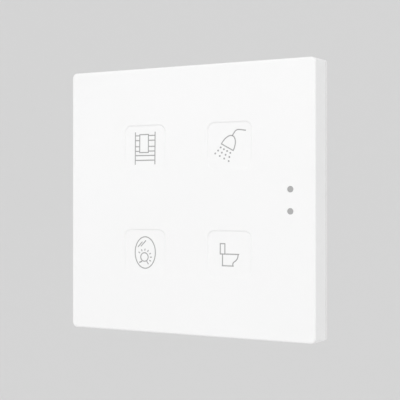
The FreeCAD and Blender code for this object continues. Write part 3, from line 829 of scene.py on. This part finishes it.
def sign_plane(button):
    """The plane a sign is drawn on: the leaning recess floor of one button, an ink's height into it."""
    middle = RECESS_MIDDLES[button]
    lean = math.atan2(recess_depth(RECESS_HALF) - recess_depth(-RECESS_HALF), 2 * RECESS_HALF)
    depth = recess_depth(0.0) + bpy.context.scene.touch_signs.ink
    return flat_place(middle.x, middle.z, FRONT_Y + depth, lean)


def print_sign(name, button, draw):
    """Draws a sign in the recess of one button and gives its lines their thin ink."""
    signs = bpy.context.scene.touch_signs
    bm = bmesh.new()
    draw(bm, sign_plane(button), signs.line)
    bmesh.ops.remove_doubles(bm, verts=bm.verts, dist=SIGN_MERGE)
    made = bmesh.ops.extrude_face_region(bm, geom=bm.faces[:])["geom"]
    lifted = [part for part in made if isinstance(part, bmesh.types.BMVert)]
    bmesh.ops.translate(bm, verts=lifted, vec=(0.0, -2 * signs.ink, 0.0))
    bmesh.ops.recalc_face_normals(bm, faces=bm.faces)
    ink = bpy.data.materials.get("Printed ink") or printed_ink()
    new_piece(bm, name, ink)


def towel_rail_lines(bm, place, line):
    """A heated towel rail: two uprights, six rungs and a towel over the upper ones."""
    left, right = -3.4, 3.46
    bottom, top = -5.02, 4.97
    rungs_behind_towel = (3.87, 2.39, 0.51, -0.92)
    rungs_below_towel = (-2.26, -3.72)
    half = line / MM / 2
    towel_low, towel_high = (-1.88 - half, -1.33 - half), (1.16 + half, 4.2 + half)
    for x in (left, right):
        stroke(bm, place, (x, bottom), (x, top), line)
    for z in rungs_behind_towel:
        stroke(bm, place, (left + half, z), (towel_low[0], z), line)
        stroke(bm, place, (towel_high[0], z), (right - half, z), line)
    for z in rungs_below_towel:
        stroke(bm, place, (left + half, z), (right - half, z), line)
    hollow(bm, panel(bm, place, towel_low, towel_high), line)


def shower_lines(bm, place, line):
    """A hand shower: a domed head on its hose, over three widening rows of droplets."""
    half = line / MM / 2
    head_middle = Vector((-0.82 + half / 2, -0.38 - half, 0.0))
    head_radius = 2.15 + half
    head_height = 3.72 + 2 * half
    head_tilt = math.radians(-28.3)
    head = place @ Matrix.Translation(head_middle * MM) @ Matrix.Rotation(head_tilt, 4, "Z")
    ellipse(bm, head, 0.0, 0.0, head_radius, head_height)
    up = head.to_3x3() @ Vector((0.0, 1.0, 0.0))
    everything = bm.verts[:] + bm.edges[:] + bm.faces[:]
    bmesh.ops.bisect_plane(bm, geom=everything, plane_co=head.translation, plane_no=up, clear_inner=True)
    hollow(bm, bm.faces[:], line)
    hose = Pen(bm, place, 0.85, 2.85, 57.0, line)
    hose.forward(1.4)
    hose.bend(-65.0, 1.5)
    hose.forward(2.15)
    droplet = bpy.context.scene.touch_signs.droplet / MM
    row_places = (-1.5, -0.5, 0.5, 1.5)
    row_aside = -0.1
    # How far each row hangs under the head, and how far apart its droplets are
    rows = ((0.87, 1.18), (2.06, 1.38), (3.23, 1.64))
    for drop, spacing in rows:
        for spot in row_places:
            aside = spot * spacing + row_aside
            ellipse(bm, head, aside, -drop, droplet, droplet, segments=16)


def mirror_lines(bm, place, line):
    """An oval mirror with two glints and a round lamp with its rays and its arm."""
    half = line / MM / 2
    mirror_middle = (0.06, -0.07)
    mirror_radii = (3.53 + half, 4.83 + half)
    hollow(bm, ellipse(bm, place, *mirror_middle, *mirror_radii), line)
    glints = (((-2.5, 1.6), (-0.95, 3.2)), ((-1.47, 1.81), (0.3, 3.63)))
    for start, end in glints:
        stroke(bm, place, start, end, line)
    lamp = Vector((-0.2, -1.46))
    lamp_radius = 1.3 + half
    hollow(bm, ellipse(bm, place, *lamp, lamp_radius, lamp_radius), line)
    rays = 8
    first_ray = -57.0
    ray_step = 28.6
    ray_start = 1.95
    ray_end = 2.58
    for step in range(rays):
        angle = math.radians(ray_step * step + first_ray)
        ray = Vector((math.cos(angle), math.sin(angle)))
        # The first ray touches the lamp
        start = lamp_radius if step == 0 else ray_start
        stroke(bm, place, lamp + start * ray, lamp + ray_end * ray, line)
    arm_start = Vector((-0.8, -1.3))
    arm_end = Vector((-1.8, -1.74))
    arm_width = 1.3 * line
    stroke(bm, place, lamp + arm_start, lamp + arm_end, arm_width)


def toilet_lines(bm, place, line):
    """A plain toilet seen from its side: cistern, seat, bowl and foot."""
    half = line / MM / 2
    seat_z = 0.15
    seat_front = 3.1
    foot_z = -3.3
    cistern_low = (-3.1, seat_z - half)
    cistern_high = (-1.3, 3.35)
    hollow(bm, panel(bm, place, cistern_low, cistern_high), line)
    stroke(bm, place, (cistern_high[0], seat_z), (seat_front, seat_z), line)
    bowl = Pen(bm, place, 2.75, seat_z - half, -90.0, line)
    bowl.forward(0.1)
    bowl.bend(-62.0, 2.2)
    bowl.bend(62.0, 0.9)
    bowl.forward(0.35)
    back = Pen(bm, place, -2.2, seat_z - half, -90.0, line)
    back.forward(3.25)
    stroke(bm, place, (-2.4, foot_z), (1.4, foot_z), line)


# Studio


def studio_mesh(name, material):
    """A wide floor that curves up into a backdrop, from one edge that is drawn out, spun and drawn up."""
    floor = bpy.context.scene.touch_studio.floor
    cove_y = PAPER_BACK_Y - PAPER_COVE_RADIUS
    bm = bmesh.new()
    ends = [bm.verts.new((x, PAPER_FRONT_Y, floor)) for x in (PAPER_HALF_WIDTH, -PAPER_HALF_WIDTH)]
    flat_end = drawn_out(bm, [bm.edges.new(ends)], Vector((0.0, cove_y - PAPER_FRONT_Y, 0.0)))
    cove_end = bmesh.ops.spin(
        bm,
        geom=flat_end,
        cent=(0.0, cove_y, floor + PAPER_COVE_RADIUS),
        axis=(1.0, 0.0, 0.0),
        angle=QUARTER_TURN,
        steps=PAPER_COVE_STEPS,
        use_duplicate=False,
    )["geom_last"]
    drawn_out(bm, cove_end, Vector((0.0, 0.0, PAPER_RISE)))
    bmesh.ops.recalc_face_normals(bm, faces=bm.faces)
    mesh = bpy.data.meshes.new(name)
    bm.to_mesh(mesh)
    bm.free()
    mesh.materials.append(material)
    for face in mesh.polygons:
        face.use_smooth = True
    return bpy.data.objects.new(name, mesh)


def seen_ray(tree):
    """1 for rays that show the background: from the camera, off gloss or through glass."""
    path = tree.nodes.new("ShaderNodeLightPath")
    total = path.outputs["Is Camera Ray"]
    for name in ("Is Glossy Ray", "Is Transmission Ray"):
        either = tree.nodes.new("ShaderNodeMath")
        either.operation = "MAXIMUM"
        tree.links.new(total, either.inputs[0])
        tree.links.new(path.outputs[name], either.inputs[1])
        total = either.outputs["Value"]
    return total


def studio_paper():
    """Pale studio paper: the same grey to the camera everywhere, with some of the real shadow."""
    material = bpy.data.materials.new("Studio paper")
    material.use_nodes = True
    tree = material.node_tree
    shader = tree.nodes["Principled BSDF"]
    studio = bpy.context.scene.touch_studio
    shader.inputs["Base Color"].default_value = (studio.paper, studio.paper, studio.paper, 1.0)
    shader.inputs["Roughness"].default_value = 0.9
    glow = tree.nodes.new("ShaderNodeEmission")
    glow.inputs["Color"].default_value = (studio.glow, studio.glow, studio.glow, 1.0)
    share = tree.nodes.new("ShaderNodeMath")
    share.operation = "MULTIPLY"
    share.inputs[1].default_value = EVEN_SHARE
    tree.links.new(seen_ray(tree), share.inputs[0])
    mix = tree.nodes.new("ShaderNodeMixShader")
    tree.links.new(share.outputs["Value"], mix.inputs["Fac"])
    tree.links.new(shader.outputs["BSDF"], mix.inputs[1])
    tree.links.new(glow.outputs["Emission"], mix.inputs[2])
    tree.links.new(mix.outputs["Shader"], tree.nodes["Material Output"].inputs["Surface"])
    return material


def studio_world():
    """Even white light from all sides, behind which the camera sees the background grey."""
    scene = bpy.context.scene
    world = bpy.data.worlds.new("Studio air")
    world.use_nodes = True
    tree = world.node_tree
    light = tree.nodes["Background"]
    light.inputs["Color"].default_value = (1.0, 1.0, 1.0, 1.0)
    light.inputs["Strength"].default_value = scene.touch_studio.ambient
    look = tree.nodes.new("ShaderNodeBackground")
    grey = scene.touch_colours.background
    look.inputs["Color"].default_value = (grey, grey, grey, 1.0)
    mix = tree.nodes.new("ShaderNodeMixShader")
    tree.links.new(seen_ray(tree), mix.inputs["Fac"])
    tree.links.new(light.outputs["Background"], mix.inputs[1])
    tree.links.new(look.outputs["Background"], mix.inputs[2])
    tree.links.new(mix.outputs["Shader"], tree.nodes["World Output"].inputs["Surface"])
    scene.world = world


def soft_lamp(name, spot, size, power):
    """A square soft lamp that looks at the middle of the front face."""
    lamp = bpy.data.lights.new(name, "AREA")
    lamp.shape = "SQUARE"
    lamp.size = size
    lamp.energy = power
    holder = bpy.data.objects.new(name, lamp)
    holder.location = spot
    aim = Vector((0.0, FRONT_Y, 0.0)) - spot
    holder.rotation_mode = "QUATERNION"
    holder.rotation_quaternion = aim.to_track_quat("-Z", "Y")
    bpy.context.scene.collection.objects.link(holder)


def studio_camera():
    """The photograph's view: level, from the right of straight ahead, with the lens shifted sideways."""
    studio = bpy.context.scene.touch_studio
    ahead = Vector((-math.sin(studio.azimuth), math.cos(studio.azimuth), 0.0))
    right = Vector((math.cos(studio.azimuth), math.sin(studio.azimuth), 0.0))
    data = bpy.data.cameras.new("Camera")
    data.sensor_width = SENSOR_WIDTH
    data.lens = studio.lens
    data.shift_x = studio.shift
    data.clip_start = CLIP_START
    camera = bpy.data.objects.new("Camera", data)
    middle = Vector((0.0, FRONT_Y, studio.above))
    camera.location = middle - ahead * studio.distance + right * studio.aside
    camera.rotation_mode = "QUATERNION"
    camera.rotation_quaternion = ahead.to_track_quat("-Z", "Y")
    bpy.context.scene.collection.objects.link(camera)
    bpy.context.scene.camera = camera


# Operators: one for each piece or group of like pieces, and one for the studio


class SWITCH_OT_covers(bpy.types.Operator):
    """Finish the front cover, the rear cover and the key in moulded plastic"""

    bl_idname = "touch_switch.covers"
    bl_label = "Covers and key"

    def execute(self, context):
        colours = context.scene.touch_colours
        # The front cover's plastic carries painted shade, with some dust, in the seam between the covers
        front = cover_plastic(
            "Cover plastic", colours.cover, dust_and_shade=0.12,
            grain=2600.0, depth=0.12, satin=(0.34, 0.42), drift=0.985,
        )
        cover_copy("front_shell", "front_cover", "cover_white", front, narrow_corner, lean_floor)
        # The rear cover's plastic also carries painted shade, with some dust, in the seam
        rear = cover_plastic(
            "Rear plastic", colours.rear, dust_and_shade=0.12,
            grain=1500.0, depth=0.3, satin=(0.46, 0.6), drift=0.97,
        )
        cover_copy("rear_shell", "rear_cover", "rear_white", rear, narrow_corner)
        key = plastic("Key plastic", (0.72, 0.72, 0.71), grain=1800.0, depth=0.15, satin=(0.35, 0.45))
        dress(key, "prog_key")
        return {"FINISHED"}


class SWITCH_OT_inner_plastics(bpy.types.Operator):
    """Finish the light frame, the diffusers, the sleeve, the windows and the light pipe"""

    bl_idname = "touch_switch.inner_plastics"
    bl_label = "Inner plastics and windows"

    def execute(self, context):
        frame_plastic = plastic(
            "Frame plastic", (0.83, 0.83, 0.81),
            grain=1200.0, depth=0.25, satin=(0.5, 0.62),
        )
        dress(frame_plastic, "light_frame")
        sleeve = plastic(
            "Sleeve plastic", (0.02, 0.02, 0.02),
            grain=1200.0, depth=0.3, satin=(0.55, 0.7), drift=1.6,
        )
        dress(sleeve, "sensor_baffle")
        dress(milky_diffuser(), *("diffuser_" + button for button in BUTTONS))
        dress(smoked_window(), "sensor_window_upper", "sensor_window_lower")
        dress(clear_pipe(), "prog_light_pipe")
        return {"FINISHED"}


class SWITCH_OT_wall_plate(bpy.types.Operator):
    """Finish the wall plate in zinc-plated rolled steel"""

    bl_idname = "touch_switch.wall_plate"
    bl_label = "Wall plate"

    def execute(self, context):
        plate = metal(
            "Zinc-plated plate", (0.62, 0.63, 0.645), dull=(0.53, 0.54, 0.56),
            squeeze=(1.0, 1.0, 22.0), streaks=260.0, depth=0.12, satin=(0.3, 0.42),
        )
        dress(plate, "wall_plate")
        return {"FINISHED"}


class SWITCH_OT_magnets_and_screws(bpy.types.Operator):
    """Finish the magnets in nickel and the cover screws in zinc"""

    bl_idname = "touch_switch.magnets_and_screws"
    bl_label = "Magnets and screws"

    def execute(self, context):
        nickel = metal(
            "Nickel", (0.68, 0.66, 0.62), dull=(0.42, 0.4, 0.37),
            squeeze=(2.0, 2.0, 2.0), streaks=350.0, depth=0.12, satin=(0.12, 0.3),
        )
        dress(nickel, "magnets")
        zinc = metal(
            "Zinc screw", (0.56, 0.56, 0.55), dull=(0.36, 0.36, 0.36),
            squeeze=(1.0, 8.0, 1.0), streaks=900.0, depth=0.2, satin=(0.25, 0.4),
        )
        dress(zinc, "cover_screws")
        return {"FINISHED"}


class SWITCH_OT_contacts(bpy.types.Operator):
    """Finish the contact pins, the snap dome and the copper touch pads"""

    bl_idname = "touch_switch.contacts"
    bl_label = "Pins, dome and touch pads"

    def execute(self, context):
        tin = metal(
            "Tinned pin", (0.72, 0.7, 0.66), dull=(0.55, 0.53, 0.5),
            squeeze=(1.0, 0.1, 1.0), streaks=1500.0, depth=0.15, satin=(0.18, 0.32),
        )
        dress(tin, "bus_pins", "input_pins")
        steel = metal(
            "Dome steel", (0.62, 0.6, 0.57), dull=(0.5, 0.48, 0.46),
            squeeze=(1.0, 1.0, 6.0), streaks=800.0, depth=0.1, satin=(0.18, 0.3),
        )
        dress(steel, "prog_switch_dome")
        copper = metal(
            "Copper pad", (0.75, 0.4, 0.25), dull=(0.55, 0.3, 0.2),
            squeeze=(1.0, 1.0, 1.0), streaks=600.0, depth=0.1, satin=(0.28, 0.42),
        )
        dress(copper, *("touch_pad_" + button for button in BUTTONS))
        return {"FINISHED"}


class SWITCH_OT_boards(bpy.types.Operator):
    """Finish both circuit boards and what is soldered on them"""

    bl_idname = "touch_switch.boards"
    bl_label = "Circuit boards"

    def execute(self, context):
        dress(solder_mask(), "touch_board", "bus_board")
        black = resin(
            "Chip resin", (0.022, 0.022, 0.024), fleck=(0.06, 0.06, 0.06),
            flecks=3500.0, satin=(0.45, 0.62),
        )
        dress(black, "touch_controller", "microcontroller", "temperature_sensor", "bus_transceiver")
        smoked = resin(
            "Sensor resin", (0.03, 0.012, 0.014), fleck=(0.05, 0.02, 0.02),
            flecks=2600.0, satin=(0.12, 0.2),
        )
        dress(smoked, "proximity_sensor", "ambient_light_sensor")
        nylon = resin(
            "Connector resin", (0.03, 0.03, 0.03), fleck=(0.05, 0.05, 0.05),
            flecks=2200.0, satin=(0.4, 0.55),
        )
        dress(nylon, "board_connector", "prog_switch_base", "prog_switch_actuator")
        ferrite = resin(
            "Ferrite", (0.1, 0.1, 0.105), fleck=(0.2, 0.2, 0.2),
            flecks=1800.0, satin=(0.6, 0.8),
        )
        dress(ferrite, "inductor")
        phosphor = resin(
            "Lamp resin", (0.7, 0.55, 0.18), fleck=(0.85, 0.75, 0.4),
            flecks=2400.0, satin=(0.3, 0.4),
        )
        dress(phosphor, "backlight_leds", "prog_led")
        case = metal(
            "Crystal case", (0.7, 0.7, 0.69), dull=(0.55, 0.55, 0.55),
            squeeze=(1.0, 1.0, 5.0), streaks=900.0, depth=0.1, satin=(0.2, 0.32),
        )
        dress(case, "crystal")
        aluminium = metal(
            "Can aluminium", (0.74, 0.75, 0.76), dull=(0.6, 0.6, 0.61),
            squeeze=(1.0, 0.2, 1.0), streaks=800.0, depth=0.1, satin=(0.25, 0.38),
        )
        dress(aluminium, "storage_capacitors")
        return {"FINISHED"}


class SWITCH_OT_towel_rail_sign(bpy.types.Operator):
    """Print the towel rail sign in the upper left recess"""

    bl_idname = "touch_switch.towel_rail_sign"
    bl_label = "Towel rail sign"

    def execute(self, context):
        print_sign("sign_towel_rail", "upper_left", towel_rail_lines)
        return {"FINISHED"}


class SWITCH_OT_shower_sign(bpy.types.Operator):
    """Print the shower sign in the upper right recess"""

    bl_idname = "touch_switch.shower_sign"
    bl_label = "Shower sign"

    def execute(self, context):
        print_sign("sign_shower", "upper_right", shower_lines)
        return {"FINISHED"}


class SWITCH_OT_mirror_sign(bpy.types.Operator):
    """Print the lit mirror sign in the lower left recess"""

    bl_idname = "touch_switch.mirror_sign"
    bl_label = "Mirror sign"

    def execute(self, context):
        print_sign("sign_mirror", "lower_left", mirror_lines)
        return {"FINISHED"}


class SWITCH_OT_toilet_sign(bpy.types.Operator):
    """Print the toilet sign in the lower right recess"""

    bl_idname = "touch_switch.toilet_sign"
    bl_label = "Toilet sign"

    def execute(self, context):
        print_sign("sign_toilet", "lower_right", toilet_lines)
        return {"FINISHED"}


class SWITCH_OT_studio(bpy.types.Operator):
    """Set up the floor and backdrop, the air, the lamps and the camera"""

    bl_idname = "touch_switch.studio"
    bl_label = "Studio"

    def execute(self, context):
        studio = context.scene.touch_studio
        paper = studio_mesh("studio_paper", studio_paper())
        context.scene.collection.objects.link(paper)
        studio_world()
        soft_lamp("Front lamp", FRONT_LAMP_SPOT, FRONT_LAMP_SIZE, studio.key)
        soft_lamp("Side lamp", SIDE_LAMP_SPOT, SIDE_LAMP_SIZE, studio.fill)
        studio_camera()
        context.scene.view_settings.view_transform = "Standard"
        return {"FINISHED"}


PIECE_OPERATORS = (
    SWITCH_OT_covers,
    SWITCH_OT_inner_plastics,
    SWITCH_OT_wall_plate,
    SWITCH_OT_magnets_and_screws,
    SWITCH_OT_contacts,
    SWITCH_OT_boards,
    SWITCH_OT_towel_rail_sign,
    SWITCH_OT_shower_sign,
    SWITCH_OT_mirror_sign,
    SWITCH_OT_toilet_sign,
    SWITCH_OT_studio,
)


class SWITCH_PT_panel(bpy.types.Panel):
    """Lists the steps and settings of the switch"""

    bl_idname = "SWITCH_PT_panel"
    bl_label = "Touch push button switch"
    bl_space_type = "VIEW_3D"
    bl_region_type = "UI"
    bl_category = "Touch switch"

    def draw(self, context):
        layout = self.layout
        for operator in PIECE_OPERATORS:
            layout.operator(operator.bl_idname)
        for name, settings in SETTINGS.items():
            box = layout.box()
            for value in settings.__annotations__:
                box.prop(getattr(context.scene, name), value)


SETTINGS = {
    "touch_colours": TouchSwitchColours,
    "touch_covers": TouchSwitchCovers,
    "touch_signs": TouchSwitchSigns,
    "touch_studio": TouchSwitchStudio,
}


def register():
    """Registers the settings, the operators and the panel."""
    for name, settings in SETTINGS.items():
        bpy.utils.register_class(settings)
        setattr(bpy.types.Scene, name, bpy.props.PointerProperty(type=settings))
    for operator in PIECE_OPERATORS:
        bpy.utils.register_class(operator)
    bpy.utils.register_class(SWITCH_PT_panel)


def unregister():
    """Takes them away again."""
    bpy.utils.unregister_class(SWITCH_PT_panel)
    for operator in reversed(PIECE_OPERATORS):
        bpy.utils.unregister_class(operator)
    for name, settings in SETTINGS.items():
        delattr(bpy.types.Scene, name)
        bpy.utils.unregister_class(settings)


def main():
    """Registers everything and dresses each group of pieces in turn."""
    register()
    bpy.ops.touch_switch.covers()
    bpy.ops.touch_switch.inner_plastics()
    bpy.ops.touch_switch.wall_plate()
    bpy.ops.touch_switch.magnets_and_screws()
    bpy.ops.touch_switch.contacts()
    bpy.ops.touch_switch.boards()
    bpy.ops.touch_switch.towel_rail_sign()
    bpy.ops.touch_switch.shower_sign()
    bpy.ops.touch_switch.mirror_sign()
    bpy.ops.touch_switch.toilet_sign()
    bpy.ops.touch_switch.studio()


if __name__ == "__main__":
    main()
